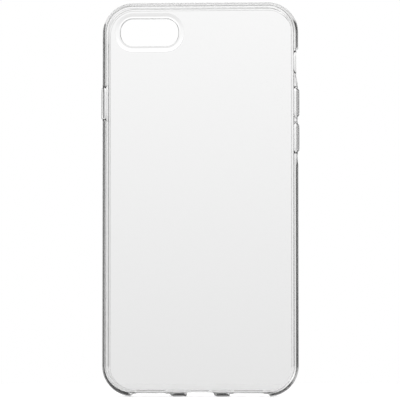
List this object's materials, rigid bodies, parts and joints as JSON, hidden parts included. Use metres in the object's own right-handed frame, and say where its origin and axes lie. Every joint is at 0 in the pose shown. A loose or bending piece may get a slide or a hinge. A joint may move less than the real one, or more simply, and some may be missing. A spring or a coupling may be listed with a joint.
{
  "type": "phone case",
  "caption": "Slim clear phone case: rigid back plate in a soft wrap-around bumper, with a guarded camera opening, press pads over the side keys, and mute, port and speaker cut-outs.",
  "frame": {"origin": "centre of the back plate's inner face, on which the phone's back rests", "axes": "+Y out of the back plate's inner face, towards the phone's screen; +Z along the case, towards its top edge; +X across the case, towards the wall with the mute and volume keys"},
  "size_m": [0.0715, 0.0099, 0.1418],
  "materials": {
    "rigid_clear": "clear moulded, glossy",
    "soft_clear": "clear flexible moulded, slightly softer gloss"
  },
  "bodies": {
    "case": {"back_plate": "rigid_clear", "bumper_frame": "soft_clear", "camera_guard": "soft_clear", "power_button_web": "soft_clear", "volume_up_web": "soft_clear", "volume_down_web": "soft_clear"},
    "power_pad": {"power_button": "soft_clear"},
    "volume_up_pad": {"volume_up_button": "soft_clear"},
    "volume_down_pad": {"volume_down_button": "soft_clear"}
  },
  "joints": [
    {"name": "power_press", "type": "slide", "parent": "case", "child": "power_pad", "axis": [1, 0, 0], "range_m": [0, 0.0005], "stiffness_N_per_m": 4000, "deforming": ["power_button_web"]},
    {"name": "volume_up_press", "type": "slide", "parent": "case", "child": "volume_up_pad", "axis": [-1, 0, 0], "range_m": [0, 0.0005], "stiffness_N_per_m": 4000, "deforming": ["volume_up_web"]},
    {"name": "volume_down_press", "type": "slide", "parent": "case", "child": "volume_down_pad", "axis": [-1, 0, 0], "range_m": [0, 0.0005], "stiffness_N_per_m": 4000, "deforming": ["volume_down_web"]}
  ]
}
